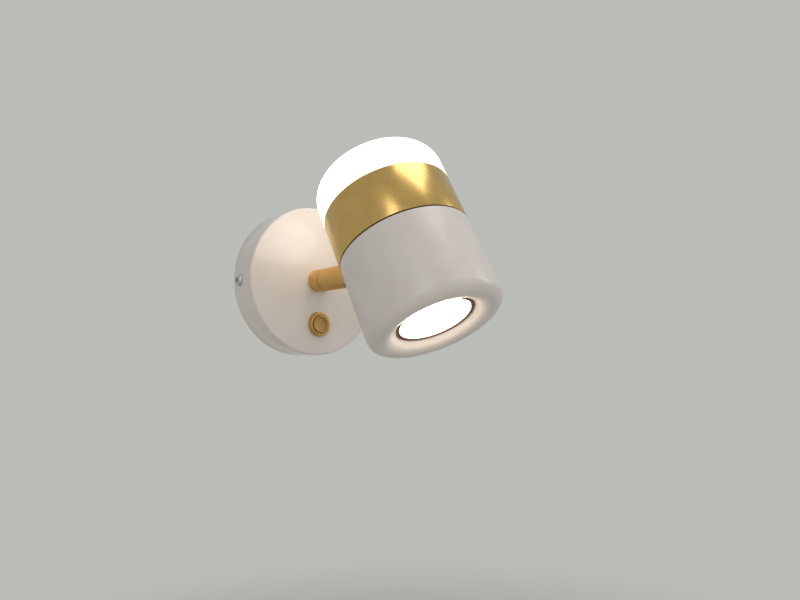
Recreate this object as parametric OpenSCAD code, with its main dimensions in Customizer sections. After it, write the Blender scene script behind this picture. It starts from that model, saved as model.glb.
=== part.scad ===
// Adjustable wall lamp: a round canopy with a push switch, a short swivelling arm and a
// tilting head with an opal top, a brass band and a painted lower shell.
// The wall is the plane y = 0, the lamp reaches out along -Y, and +Z is up.

/* [Canopy] */
// Outer diameter of the canopy
canopy_d = 102; // [100:1:114]
// Distance from the wall to the front face of the canopy
canopy_depth = 24; // [23.5:0.5:30]
// Wall thickness of the canopy
canopy_wall = 1.5; // [1:0.1:2]
// Rounding of the front edge of the canopy
canopy_edge_r = 1.5; // [0.6:0.1:2.4]
// Gap between the rim of the canopy and the wall
rim_gap = 0.6; // [0.2:0.1:1.2]

/* [Wall bracket] */
// Thickness of the bracket plate
bracket_t = 1.5; // [1:0.1:2]
// Width of the bracket bar
bracket_w = 20; // [16:1:24]
// Diameter of the hub in the middle of the bar
hub_d = 42; // [40:1:46]
// Diameter of the hole for the supply cable
cable_hole_d = 20; // [14:1:20]
// Distance between the two wall slots
slot_spacing = 62; // [60:1:66]
// End-to-end length of a wall slot
slot_l = 12; // [8:0.5:14]
// Width of a wall slot
slot_w = 4.5; // [4:0.1:5.5]
// Width of the tabs that take the side screws
tab_w = 12; // [9:0.5:14]
// Length of the tabs, out of the wall
tab_l = 15; // [14:0.5:18]
// Distance from the wall to the side screws
side_screw_reach = 9; // [7:0.5:10]
// Thread diameter of the side screws
side_screw_d = 4; // [3:0.5:5]
// Length of the side screws under the head
side_screw_l = 8; // [5:0.5:8]
// Diameter of the side screw heads
side_head_d = 7.4; // [6:0.2:8.4]

/* [Switch] */
// Distance from the arm axis down to the switch
switch_drop = 30; // [29:0.5:31]
// Diameter of the bezel flange
bezel_d = 17.4; // [17.2:0.2:20]
// Height of the bezel above the canopy
bezel_h = 2.6; // [2:0.1:3]
// Thread diameter of the switch barrel
barrel_d = 15.8; // [15:0.1:16.4]
// Diameter of the button
button_d = 12.2; // [10:0.1:12.6]
// Height of the button above the bezel at rest
button_proud = 0.8; // [0.6:0.1:1]
// Travel of the button
button_travel = 1.5; // [1:0.1:1.8]
// Diameter of the hollow in the middle of the button
button_dish_d = 9.2; // [6:0.2:9.6]

/* [Arm] */
// Outer diameter of the arm and of the bush at its root
arm_d = 15.6; // [15.2:0.1:17]
// Length of the bush between the canopy and the swivel
bush_l = 10; // [8:0.5:14]
// Thread diameter of the bush behind the canopy
bush_thread_d = 12; // [11:0.5:13]
// Diameter of the hollow spindle
spindle_d = 7; // [6.4:0.1:7.2]
// Diameter of the wire channel through the spindle
wire_bore_d = 4.6; // [4:0.1:5]
// Height of the dark groove at the swivel
swivel_gap = 0.8; // [0.6:0.1:1.2]
// Wall thickness of the arm tube
tube_wall = 1.5; // [1.2:0.1:2]
// Distance from the wall to the tilt pivot
pivot_reach = 66.5; // [64:0.5:80]
// Diameter of the tilt pin
tilt_pin_d = 4; // [3:0.5:4]
// Diameter of the tilt screw head and nut
tilt_head_d = 7; // [6:0.2:7.4]
// Width of the hinge bracket inside the fork
hinge_w = 8; // [7:0.2:8.4]

/* [Head] */
// Diameter of the head
head_d = 80; // [76:1:92]
// Gap from the tilt pivot to the back of the head
pivot_stand = 8.8; // [8.8:0.1:12]
// Tilt of the head out from the wall
head_tilt = 28.5; // [0:0.5:60]
// Height of the brass band
band_h = 30.3; // [28:0.1:36]
// Wall thickness of the brass band
band_wall = 1.9; // [1.4:0.1:2.4]
// Height of the dark line between band and shell
shadow_h = 0.7; // [0.5:0.1:1.2]
// Depth of that line
shadow_depth = 1; // [0.6:0.1:1.2]
// Visible height of the opal top
opal_h = 26.5; // [24:0.5:32]
// Wall thickness of the opal top
opal_wall = 2.5; // [2:0.1:3.5]
// Rounding of the top edge
opal_edge_r = 13.5; // [6:0.5:16]
// Height of the painted shell
shell_h = 52.5; // [50:0.5:60]
// Wall thickness of the painted shell
shell_wall = 1.9; // [1.4:0.1:2.4]
// Rounding of the outer bottom edge
shell_edge_r = 6.5; // [4:0.5:8]

/* [Spotlight] */
// Visible diameter of the spot lens
lens_d = 42; // [38:0.5:44]
// Width of the dark ring round the lens
lens_gap = 2.3; // [1.6:0.1:3]
// Depth of the lens face in the mouth
lens_recess = 5; // [4:0.1:5.4]
// Roundness of the mouth
mouth_r = 12; // [8:0.5:12.5]
// Slope of the mouth next to the lens, in degrees
mouth_slope = 38; // [30:1:42]
// Number of heat sink fins
fin_count = 11; // [7:2:13]
// Number of light-emitting chips in the outer ring
halo_count = 24; // [12:2:28]

/* [Fits] */
// Radial running clearance of a pin in its hole
running = 0.05; // [0.03:0.01:0.08]
// Radial clearance of a thread or a pushed-in plug
thread_gap = 0.05; // [0.03:0.01:0.1]
// Radial clearance between a sleeve and what it slides over
sleeve_gap = 0.2; // [0.1:0.05:0.3]
// Clearance between faces that lie together
face_gap = 0.02; // [0.01:0.01:0.05]

/* [Hidden] */
$fn = 96;
small_fn = 40;
eps = 0.01;
big = 200;

paint = "#eae1da";
brass = "#c9a35a";
steel = "#b8bcc0";
dark = "#2b2624";
opal = "#fbf8f0";

canopy_r = canopy_d / 2;
canopy_inner_r = canopy_r - canopy_wall;
canopy_face_in = canopy_depth - canopy_wall;
arm_r = arm_d / 2;
head_r = head_d / 2;

bracket_clear = 0.2;
tab_x = sqrt(pow(canopy_inner_r - bracket_clear, 2) - pow(tab_w / 2, 2));
side_hole_d = side_screw_d + 0.5;
side_head_h = 2.2;
earth_screw_r = 15.5;
earth_screw_angle = -45;
earth_head_d = 6.6;
earth_head_h = 2.2;
earth_thread_d = 4;

bush_front = canopy_depth + bush_l;
bush_tail_l = 9;
bush_tail = canopy_depth - bush_tail_l;
bush_bore_d = spindle_d + 2 * running;
bush_washer_t = 1;
bush_washer_d = 20;
bush_nut_t = 3.5;
bush_nut_af = 17;
bush_chamfer = 0.3;
stop_slot_r1 = bush_bore_d / 2 + 0.75;
stop_slot_r2 = stop_slot_r1 + 1.9;
stop_slot_depth = 3;
stop_pin_d = 1.4;
stop_pin_r = (stop_slot_r1 + stop_slot_r2) / 2;
stop_rib_w = 1.1;
wave_t = 0.35;
ring_t = 0.7;
ring_seat = bush_tail - wave_t - ring_t - 3 * face_gap;
spindle_tail = ring_seat - 1;

tube_back = bush_front + swivel_gap;
tube_bore_r = arm_r - tube_wall;
plug_r = tube_bore_r - thread_gap;
plug_l = 6;
fork_neck = 8.5;
tube_front = pivot_reach - fork_neck;
fork_slot_w = hinge_w + 0.8;
hinge_eye_r = arm_r - 1.5;
fork_slot_back = pivot_reach - hinge_eye_r - 0.6;
tilt_seat = hinge_w / 2 + 1.6;
tilt_head_h = 1.5;
friction_t = 0.3;

pivot_to_axis = head_r + pivot_stand;
band_top = band_h / 2;
band_bottom = -band_h / 2;
shell_top = band_bottom - shadow_h;
shell_bottom = shell_top - shell_h;
opal_top = band_top + opal_h;
core_r = head_r - band_wall - sleeve_gap;
core_wall = 3;
core_top = band_top - 5;
core_plate_t = 3;
core_skirt = 11;
core_bottom = shell_top - core_skirt;
shell_inner_r = head_r - shell_wall;
core_skirt_r = shell_inner_r - sleeve_gap;
pad_face = core_r - core_wall - 3.2;
hinge_plate_t = 2;
hinge_cheek_t = 2;
hinge_plate_w = 27;
hinge_plate_h = 2 * hinge_eye_r;
hinge_screw_x = 9.6;
hinge_screw_l = 5;
hinge_window_h = 7;
hinge_slot_w = hinge_w + 0.6;
hinge_slot_h = 2 * hinge_eye_r + 0.6;
m3_d = 3;
m3_head_d = 5.5;
m3_head_h = 2;

board_t = 1.6;
board_r = core_r - opal_wall - 1.9;
chip_ring_r = board_r - 5;
inner_chip_count = 8;
inner_chip_r = 12;
chip_size = [3.5, 2.8, 0.8];
halo_screw_r = 20;
wire_hole_d = 6;
opal_spigot_r = core_r;
opal_spigot_wall = 2.6;

lens_face = shell_bottom + lens_recess;
lens_r = lens_d / 2;
mouth_inner_r = lens_r + lens_gap;
mouth_centre_r = head_r - shell_edge_r;
mouth_tangent = [
    mouth_centre_r - mouth_r * sin(mouth_slope),
    shell_bottom + mouth_r * (1 - cos(mouth_slope))
];
mouth_inner_z = mouth_tangent.y + (mouth_tangent.x - mouth_inner_r) * tan(mouth_slope);
shell_floor = shell_bottom + 7.2;
lens_flange_t = 1.5;
lens_flange_r = mouth_inner_r + 1.8;
lens_ring_proud = 0.3;
lens_ring_t = shell_floor - lens_face + lens_ring_proud;
lens_ring_gap = 0.12;
reflector_wall = 1;
reflector_flange_t = 1;
reflector_top_r = 7.5;
reflector_h = 16.5;
reflector_bottom = shell_floor + lens_flange_t + face_gap;
reflector_top = reflector_bottom + reflector_h;
spot_chip_r = 6.5;
spot_chip_t = 0.6;
spot_board_r = 14;
spot_board_bottom = reflector_top + face_gap;
sink_bottom = spot_board_bottom + board_t + face_gap;
sink_plate_t = 3;
sink_r = shell_inner_r - 3;
fin_t = 1.2;
fin_field_r = 25;
fin_pitch = 2 * (fin_field_r - 2) / (fin_count - 1);
fin_h = core_bottom - sink_bottom - sink_plate_t + 8;
boss_r = shell_inner_r - 7;
boss_d = 6.4;
boss_angles = [30, 150, 270];
sink_wire_hole_d = 3;
sink_wire_y = 29;

lead_d = 1.6;
lead_pitch = 1.8;
lead_bend_gap = 0.3;
lead_end_gap = 0.3;
lead_join = spindle_tail - 1.8;
switch_y = -switch_drop;
bezel_bore_d = button_d + 0.4;
bezel_flange_h = 1;
barrel_l = 11;
barrel_back = canopy_depth - barrel_l;
housing_d = 15;
housing_back = 5;
housing_plug_l = 4.4;
button_l = 7.4;
dish_depth = 0.8;
switch_nut_t = 3;
switch_nut_af = 19;
tab_size = [0.5, 2.8, 3.6];
tab_spread = 3;
block_poles = 3;
pole_pitch = 7.6;
block_size = [block_poles * pole_pitch, 15, 11];
block_x = -28.5;
clamp_y = 4;
clamp_d = 3;
clamp_hole_d = 3.4;
clamp_hole_l = 2.6;
clamp_set = 0.8;
clamp_rest = 0.2;
clamp_slot = 0.6;
block_y = -15.7;
block_wire_z = canopy_face_in - block_size.z / 2;
pole_hole_d = 3.2;
driver_size = [54, 22, 15];
// Ways of the leads behind the canopy's face: across the wall, up, and out of it
block_to_switch = [[-30, -31, 12], [-18, -35, 6]];
switch_to_driver = [[18, -18, 6], [26, -8, 8], [35, 4, 12]];
block_to_driver = [-26, 2, 14];
earth_way = [[-4, -14, 8], [-14, -9, 9], [-22, -3, 13]];
right_turn_x = 36;
left_turn = [-34, 10];
left_turn_x = -35;
driver_turn = 8;
driver_inlet = 4;
driver_lead_in = 3;
pole_in = 2;
tab_lead_in = 2;
tab_turn = [11, 4, 1];
switch_turn_x = -9;
earth_turn = [6, 3, 1];
earth_pole_in = 3;
lead_rest_gap = 0.1;
driver_y = 24;
driver_pad_t = 1;
driver_pad_inset = 4;
driver_wire_z = canopy_face_in - 9.5;

// Turns a shape so that its +Z is the way out of the wall
module out_of_wall() {
    rotate([90, 0, 0]) children();
}

// Places a shape drawn round the head's own axis, +Z towards the opal top and +Y to the wall
module on_head() {
    translate([0, -pivot_reach, 0]) rotate([-head_tilt, 0, 0]) translate([0, -pivot_to_axis, 0]) children();
}

// A plain ring standing on z = low
module ring(r1, r2, low, high) {
    translate([0, 0, low]) difference() {
        cylinder(r = r2, h = high - low);
        translate([0, 0, -1]) cylinder(r = r1, h = high - low + 2);
    }
}

// A hexagon nut with a round hole, standing on z = low
module hex_nut(across, hole_d, low, high) {
    translate([0, 0, low]) difference() {
        cylinder(d = across / cos(30), h = high - low, $fn = 6);
        translate([0, 0, -1]) cylinder(d = hole_d, h = high - low + 2);
    }
}

// A cross-recess pan head screw: the seat of the head is z = 0, the shank goes down
module pan_screw(d, l, head_d, head_h) {
    slot = head_d * 0.16;
    difference() {
        union() {
            translate([0, 0, -l]) cylinder(d = d, h = l + eps, $fn = small_fn);
            rotate_extrude($fn = small_fn) intersection() {
                translate([0, head_h - head_d]) circle(r = head_d, $fn = 96);
                square([head_d / 2, head_h]);
            }
        }
        for (turn = [0, 90]) rotate([0, 0, turn])
            translate([-head_d * 0.3, -slot / 2, head_h * 0.4]) cube([head_d * 0.6, slot, head_h]);
    }
}

// Points of a smooth route through the given points, with steps points to each stretch
function catmull(a, b, c, d, t) =
    0.5 * (2 * b + (c - a) * t + (2 * a - 5 * b + 4 * c - d) * t * t + (3 * b - a - 3 * c + d) * t * t * t);
function smooth_route(p, steps) = let (n = len(p) - 1) [
    for (i = [0:n - 1], s = [0:steps - 1])
        catmull(i == 0 ? 2 * p[0] - p[1] : p[i - 1], p[i], p[i + 1], i == n - 1 ? 2 * p[n] - p[n - 1] : p[i + 2], s / steps),
    p[n]
];
function unit(v) = v / norm(v);
function heading(p, i) = unit(p[min(i + 1, len(p) - 1)] - p[max(i - 1, 0)]);
function square_to(v, along) = unit(v - (v * along) * along);
function side_start(along) = square_to(abs(along.x) < 0.7 ? [1, 0, 0] : [0, 0, 1], along);

// An insulated lead: a round tube swept along the route as one closed skin
module lead(route, d = lead_d, sides = 8, steps = 4) {
    p = smooth_route(route, steps);
    n = len(p);
    sides_at = [for (i = 0, u = side_start(heading(p, 0)); i < n; i = i + 1, u = square_to(u, heading(p, min(i, n - 1)))) u];
    points = [
        for (i = [0:n - 1], k = [0:sides - 1]) let (u = sides_at[i], w = cross(heading(p, i), u), a = 360 * k / sides)
            p[i] + d / 2 * (cos(a) * u + sin(a) * w)
    ];
    skin = [
        for (i = [0:n - 2], k = [0:sides - 1]) let (a = i * sides + k, b = i * sides + (k + 1) % sides)
            each [[a, a + sides, b], [b, a + sides, b + sides]]
    ];
    caps = [
        for (k = [1:sides - 2]) each [[0, k, k + 1], [(n - 1) * sides, (n - 1) * sides + k + 1, (n - 1) * sides + k]]
    ];
    polyhedron(points, concat(skin, caps));
}

// Canopy and what it carries

// Flat steel bar with a hub, two wall slots and two tabs for the side screws
module wall_bracket() {
    color(steel) out_of_wall() {
        difference() {
            union() {
                linear_extrude(bracket_t) intersection() {
                    circle(r = canopy_inner_r - bracket_clear);
                    union() {
                        square([2 * tab_x, bracket_w], center = true);
                        circle(d = hub_d);
                    }
                }
                for (s = [-1, 1])
                    translate([s * (tab_x - bracket_t / 2), 0, tab_l / 2]) cube([bracket_t, tab_w, tab_l], center = true);
            }
            translate([0, 0, -1]) cylinder(d = cable_hole_d, h = bracket_t + 2);
            for (s = [-1, 1]) translate([s * slot_spacing / 2, 0, -1]) {
                for (e = [-1, 1]) translate([e * (slot_l - slot_w) / 2, 0, 0]) cylinder(d = slot_w, h = bracket_t + 2);
                translate([-(slot_l - slot_w) / 2, -slot_w / 2, 0]) cube([slot_l - slot_w, slot_w, bracket_t + 2]);
            }
            translate([-big / 2, 0, side_screw_reach]) rotate([0, 90, 0])
                cylinder(d = side_screw_d + 2 * thread_gap, h = big, $fn = small_fn);
            rotate([0, 0, earth_screw_angle]) translate([earth_screw_r, 0, -1])
                cylinder(d = earth_thread_d + 2 * thread_gap, h = bracket_t + 2, $fn = small_fn);
        }
    }
}

// Earthing screw on the hub
module earth_screw() {
    color(brass) out_of_wall() rotate([0, 0, earth_screw_angle]) translate([earth_screw_r, 0, bracket_t + face_gap])
        pan_screw(earth_thread_d, bracket_t - 0.1, earth_head_d, earth_head_h);
}

// Painted cup with a rounded front edge
module canopy() {
    color(paint) out_of_wall() difference() {
        rotate_extrude() difference() {
            union() {
                translate([0, rim_gap]) square([canopy_r, canopy_depth - rim_gap - canopy_edge_r]);
                translate([0, rim_gap]) square([canopy_r - canopy_edge_r, canopy_depth - rim_gap]);
                translate([canopy_r - canopy_edge_r, canopy_depth - canopy_edge_r]) circle(r = canopy_edge_r);
            }
            translate([-1, -1]) square([canopy_inner_r + 1, canopy_face_in + 1]);
        }
        cylinder(d = bush_thread_d + 2 * thread_gap, h = canopy_depth + 1);
        translate([0, switch_y, 0]) cylinder(d = barrel_d + 2 * thread_gap, h = canopy_depth + 1);
        translate([-big / 2, 0, side_screw_reach]) rotate([0, 90, 0]) cylinder(d = side_hole_d, h = big, $fn = small_fn);
    }
}

// One pan head screw on each side of the canopy
module canopy_screws() {
    color(steel) out_of_wall() for (s = [-1, 1])
        translate([s * (canopy_r + face_gap), 0, side_screw_reach]) rotate([0, s * 90, 0]) rotate([0, 0, 35])
            pan_screw(side_screw_d, side_screw_l, side_head_d, side_head_h);
}

// Turned bush: the first length of the arm, threaded behind the canopy, with the swivel stop groove
module arm_bush() {
    color(brass) out_of_wall() {
        difference() {
            union() {
                translate([0, 0, canopy_depth + face_gap]) cylinder(r = arm_r, h = bush_l - face_gap - bush_chamfer);
                translate([0, 0, bush_front - bush_chamfer - eps])
                    cylinder(r1 = arm_r, r2 = arm_r - bush_chamfer, h = bush_chamfer + eps);
                translate([0, 0, bush_tail]) cylinder(d = bush_thread_d, h = canopy_depth - bush_tail + 1);
            }
            translate([0, 0, bush_tail - 1]) cylinder(d = bush_bore_d, h = bush_front - bush_tail + 2);
            difference() {
                ring(stop_slot_r1, stop_slot_r2, bush_front - stop_slot_depth, bush_front + 1);
                translate([-stop_rib_w / 2, -stop_slot_r2 - 1, bush_front - stop_slot_depth - 1])
                    cube([stop_rib_w, stop_slot_r2, stop_slot_depth + 3]);
            }
        }
    }
}

// Lock washer behind the canopy
module bush_washer() {
    color(steel) out_of_wall()
        ring(bush_thread_d / 2 + thread_gap, bush_washer_d / 2, canopy_face_in - bush_washer_t, canopy_face_in - face_gap);
}

// Nut that clamps the bush to the canopy
module bush_nut() {
    nut_front = canopy_face_in - bush_washer_t - face_gap;
    color(steel) out_of_wall() hex_nut(bush_nut_af, bush_thread_d + 2 * thread_gap, nut_front - bush_nut_t, nut_front);
}

// Push switch

// Turned bezel with its threaded barrel
module switch_bezel() {
    rim_r = bezel_d / 2 - 1;
    color(brass) out_of_wall() translate([0, switch_y, 0]) difference() {
        union() {
            translate([0, 0, barrel_back]) cylinder(d = barrel_d, h = canopy_depth - barrel_back + 1);
            translate([0, 0, canopy_depth + face_gap]) cylinder(d = bezel_d, h = bezel_flange_h - face_gap);
            rotate_extrude() {
                translate([0, canopy_depth + face_gap]) square([rim_r, bezel_h - face_gap - 0.5]);
                translate([0, canopy_depth + face_gap]) square([rim_r - 0.5, bezel_h - face_gap]);
                translate([rim_r - 0.5, canopy_depth + bezel_h - 0.5]) circle(r = 0.5, $fn = small_fn);
            }
        }
        translate([0, 0, barrel_back - 1]) cylinder(d = bezel_bore_d, h = barrel_l + bezel_h + 2);
    }
}

// Nut behind the canopy
module switch_nut() {
    color(steel) out_of_wall() translate([0, switch_y, 0])
        hex_nut(switch_nut_af, barrel_d + 2 * thread_gap, canopy_face_in - switch_nut_t, canopy_face_in - face_gap);
}

// Moulded body of the switch
module switch_housing() {
    color(dark) out_of_wall() translate([0, switch_y, 0]) {
        translate([0, 0, housing_back]) cylinder(d = housing_d, h = barrel_back - housing_back - face_gap);
        translate([0, 0, housing_back + 1])
            cylinder(d = bezel_bore_d - 2 * thread_gap, h = barrel_back + housing_plug_l - housing_back - 1);
    }
}

// Two blade terminals
module switch_terminals() {
    color(brass) out_of_wall() translate([0, switch_y, 0]) for (s = [-1, 1])
        translate([s * tab_spread, 0, housing_back - tab_size.z / 2 - face_gap]) cube(tab_size, center = true);
}

// Button with a shallow hollow; it travels into the bezel
module switch_button() {
    button_front = canopy_depth + bezel_h + button_proud;
    edge = 0.6;
    dish_sphere_r = (pow(button_dish_d / 2, 2) + pow(dish_depth, 2)) / (2 * dish_depth);
    color(brass) out_of_wall() translate([0, switch_y, 0]) difference() {
        rotate_extrude() {
            translate([0, button_front - button_l]) square([button_d / 2, button_l - edge]);
            translate([0, button_front - edge - eps]) square([button_d / 2 - edge, edge + eps]);
            intersection() {
                translate([button_d / 2 - edge, button_front - edge]) circle(r = edge, $fn = small_fn);
                square([button_d, button_front + 1]);
            }
        }
        translate([0, 0, button_front - dish_depth + dish_sphere_r]) sphere(r = dish_sphere_r);
    }
}

// Wiring in the canopy

// Three-pole terminal block, open along the way the leads run
module terminal_block() {
    color("#e8e6df") out_of_wall() translate([block_x, block_y, canopy_face_in - face_gap - block_size.z]) difference() {
        translate([-block_size.x / 2, -block_size.y / 2, 0]) cube(block_size);
        for (i = [0:block_poles - 1]) translate([(i - (block_poles - 1) / 2) * pole_pitch, 0, 0]) {
            translate([0, -block_size.y, block_size.z / 2]) rotate([-90, 0, 0])
                cylinder(d = pole_hole_d, h = 2 * block_size.y, $fn = small_fn);
            for (s = [-1, 1]) translate([0, s * clamp_y, -1]) cylinder(d = clamp_hole_d, h = clamp_hole_l + 1, $fn = small_fn);
        }
    }
}

// Clamp screws of the terminal block
module terminal_screws() {
    color(steel) out_of_wall() translate([block_x, block_y, canopy_face_in - face_gap - block_size.z])
        for (i = [0:block_poles - 1], s = [-1, 1]) translate([(i - (block_poles - 1) / 2) * pole_pitch, s * clamp_y, clamp_set])
            difference() {
                cylinder(d = clamp_d, h = clamp_hole_l - clamp_set - clamp_rest, $fn = small_fn);
                translate([-clamp_d, -clamp_slot / 2, -1]) cube([2 * clamp_d, clamp_slot, 1 + clamp_slot]);
            }
}

// Power supply box with rounded corners
module led_driver() {
    corner = 2;
    color("#dfe2e4") out_of_wall()
        translate([0, driver_y, canopy_face_in - driver_pad_t - face_gap - driver_size.z]) linear_extrude(driver_size.z)
            union() {
                square([driver_size.x - 2 * corner, driver_size.y], center = true);
                square([driver_size.x, driver_size.y - 2 * corner], center = true);
                for (x = [-1, 1], y = [-1, 1])
                    translate([x * (driver_size.x / 2 - corner), y * (driver_size.y / 2 - corner)]) circle(r = corner);
            }
}

// Foam tape that holds the driver
module driver_pad() {
    color(dark) out_of_wall() translate([0, driver_y, canopy_face_in - driver_pad_t / 2])
        cube([driver_size.x - 2 * driver_pad_inset, driver_size.y - 2 * driver_pad_inset, driver_pad_t - 2 * face_gap],
            center = true);
}

// Leads from the terminal block to the switch and to both ends of the driver
module supply_leads() {
    pole = [for (i = [0:block_poles - 1]) block_x + (i - (block_poles - 1) / 2) * pole_pitch];
    low = block_y - block_size.y / 2;
    high = block_y + block_size.y / 2;
    tab_z = housing_back - tab_size.z / 2;
    tab_gap = tab_spread + tab_size.x / 2 + lead_end_gap;
    end_gap = driver_size.x / 2 + lead_end_gap;
    color("#7a4a2a") out_of_wall() {
        lead([[pole[0], low + pole_in, block_wire_z], [pole[0], low - pole_in, block_wire_z], each block_to_switch,
            [switch_turn_x, switch_y - tab_lead_in, tab_z], [-tab_gap - tab_lead_in, switch_y, tab_z],
            [-tab_gap, switch_y, tab_z]]);
        lead([[tab_gap, switch_y, tab_z], [tab_gap + tab_lead_in, switch_y, tab_z],
            [tab_turn.x, switch_y + tab_turn.y, tab_z + tab_turn.z], each switch_to_driver,
            [right_turn_x, driver_y - driver_turn, driver_wire_z],
            [end_gap + driver_lead_in, driver_y - driver_inlet, driver_wire_z],
            [end_gap, driver_y - driver_inlet, driver_wire_z]]);
        lead([[pole[2], high - pole_in, block_wire_z], [pole[2], high + pole_in, block_wire_z], block_to_driver,
            [left_turn.x, left_turn.y, driver_wire_z], [left_turn_x, driver_y - driver_turn, driver_wire_z],
            [-end_gap - driver_lead_in, driver_y - driver_inlet, driver_wire_z],
            [-end_gap, driver_y - driver_inlet, driver_wire_z]]);
    }
}

// Earth lead from the bracket screw to the middle pole
module earth_lead() {
    start = earth_screw_r * [cos(earth_screw_angle), sin(earth_screw_angle)];
    head_front = bracket_t + earth_head_h + lead_d / 2 + lead_rest_gap;
    high = block_y + block_size.y / 2;
    color("#9fb03a") out_of_wall()
        lead([[start.x, start.y, head_front],
            [start.x - earth_turn.x, start.y - earth_turn.y, head_front + earth_turn.z], each earth_way,
            [block_x, high + earth_pole_in, block_wire_z], [block_x, high - pole_in, block_wire_z]]);
}

// Pair of leads from the driver to the back of the spindle
module output_leads() {
    driver_low = driver_y - driver_size.y / 2 - lead_end_gap;
    color("#b8322c") out_of_wall() for (s = [-1, 1])
        lead([[s * lead_pitch / 2, driver_low, driver_wire_z], [s * lead_pitch / 2, driver_low - 1.5, driver_wire_z],
            [s * lead_pitch / 2, driver_low - 4.5, driver_wire_z - 3],
            [s * lead_pitch / 2, 3.4, lead_join - 4.4], [s * lead_pitch / 2, 0, lead_join - 2],
            [s * lead_pitch / 2, 0, lead_join - lead_bend_gap]]);
}

// Swivelling arm

// Hollow spindle with its plug, the groove for the retaining ring and the hole for the stop pin
module arm_spindle() {
    color(brass) out_of_wall() difference() {
        union() {
            translate([0, 0, spindle_tail]) cylinder(d = spindle_d, h = tube_back - spindle_tail + 1);
            translate([0, 0, tube_back]) cylinder(r = plug_r, h = plug_l);
        }
        translate([0, 0, spindle_tail - 1]) cylinder(d = wire_bore_d, h = tube_back + plug_l - spindle_tail + 2);
        ring(spindle_d / 2 - 0.5, spindle_d, ring_seat - face_gap, ring_seat + ring_t + face_gap);
        translate([0, stop_pin_r, tube_back - 1])
            cylinder(d = stop_pin_d + 2 * face_gap, h = 4.5, $fn = small_fn);
    }
}

// Pin that runs in the groove of the bush and stops the swivel
module stop_pin() {
    color(steel) out_of_wall() translate([0, stop_pin_r, bush_front - stop_slot_depth + 0.5])
        cylinder(d = stop_pin_d, h = tube_back + 3 - bush_front + stop_slot_depth - 0.5, $fn = small_fn);
}

// Open clip behind the bush
module retaining_ring() {
    inner = spindle_d / 2 - 0.5 + face_gap;
    color(steel) out_of_wall() difference() {
        ring(inner, spindle_d / 2 + 1.8, ring_seat, ring_seat + ring_t);
        translate([-inner * 0.8, -spindle_d, ring_seat - 1]) cube([inner * 1.6, spindle_d, ring_t + 2]);
    }
}

// Spring washer that gives the swivel its friction
module wave_washer() {
    color(steel) out_of_wall() ring(spindle_d / 2 + running, spindle_d / 2 + 1.9, ring_seat + ring_t + face_gap, bush_tail - face_gap);
}

// Dark ring in the groove between bush and arm
module swivel_washer() {
    color(dark) out_of_wall()
        ring(stop_slot_r2 + 0.2, arm_r - 0.5, bush_front + running, tube_back - running);
}

// Brass tube of the arm
module arm_tube() {
    color(brass) out_of_wall() difference() {
        union() {
            translate([0, 0, tube_back]) cylinder(r1 = arm_r - bush_chamfer, r2 = arm_r, h = bush_chamfer);
            translate([0, 0, tube_back + bush_chamfer - eps])
                cylinder(r = arm_r, h = tube_front - tube_back - bush_chamfer - face_gap + eps);
        }
        translate([0, 0, tube_back - 1]) cylinder(r = tube_bore_r, h = tube_front - tube_back + 2);
    }
}

// Fork at the end of the arm, rounded about the tilt pin
module arm_fork() {
    color(brass) out_of_wall() difference() {
        union() {
            translate([0, 0, tube_front - plug_l]) cylinder(r = plug_r, h = plug_l + 1);
            intersection() {
                translate([0, 0, tube_front]) cylinder(r = arm_r, h = big);
                union() {
                    translate([-big / 2, -big / 2, tube_front]) cube([big, big, pivot_reach - tube_front]);
                    translate([-big / 2, 0, pivot_reach]) rotate([0, 90, 0]) cylinder(r = arm_r, h = big);
                }
            }
        }
        translate([0, 0, tube_front - plug_l - 1]) cylinder(d = wire_bore_d, h = big);
        translate([-fork_slot_w / 2, -big / 2, fork_slot_back]) cube([fork_slot_w, big, big]);
        translate([-big / 2, 0, pivot_reach]) rotate([0, 90, 0])
            cylinder(d = tilt_pin_d + 2 * thread_gap, h = big, $fn = small_fn);
        for (s = [-1, 1]) translate([s * tilt_seat, 0, pivot_reach]) rotate([0, s * 90, 0])
            cylinder(d = tilt_head_d + 0.2, h = big);
    }
}

// Shoulder screw that is the tilt axle
module tilt_screw() {
    color(brass) translate([0, -pivot_reach, 0]) rotate([0, -90, 0]) difference() {
        union() {
            translate([0, 0, -tilt_seat - tilt_head_h])
                cylinder(d = tilt_pin_d, h = 2 * tilt_seat + tilt_head_h + 2 * face_gap);
            translate([0, 0, tilt_seat + face_gap]) cylinder(d = tilt_head_d, h = tilt_head_h - 0.3);
            translate([0, 0, tilt_seat + tilt_head_h - 0.3])
                cylinder(d1 = tilt_head_d, d2 = tilt_head_d - 0.6, h = 0.3);
        }
        translate([0, 0, tilt_seat + 0.4]) cylinder(d = 2.9, h = 3, $fn = 6);
    }
}

// Round nut on the far cheek
module tilt_nut() {
    color(brass) translate([0, -pivot_reach, 0]) rotate([0, 90, 0]) difference() {
        translate([0, 0, tilt_seat + face_gap]) cylinder(d = tilt_head_d, h = tilt_head_h);
        cylinder(d = tilt_pin_d + 2 * thread_gap, h = 20);
        for (s = [-1, 1]) translate([s * tilt_head_d / 2 - 0.5, -0.5, tilt_seat + tilt_head_h - 0.8]) cube([1, 1, 3]);
    }
}

// Washers between the fork and the hinge bracket
module friction_washers() {
    color(dark) translate([0, -pivot_reach, 0]) for (s = [-1, 1]) rotate([0, s * 90, 0])
        ring(tilt_pin_d / 2 + running, hinge_eye_r - 0.5, hinge_w / 2 + 0.05, hinge_w / 2 + 0.05 + friction_t);
}

// Pair of leads through the spindle, the tube and the root of the fork
module arm_leads() {
    color("#b8322c") out_of_wall() for (s = [-1, 1])
        translate([s * lead_pitch / 2, 0, lead_join]) cylinder(d = lead_d, h = fork_slot_back + 1.5 - lead_join, $fn = small_fn);
}

// Head

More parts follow.
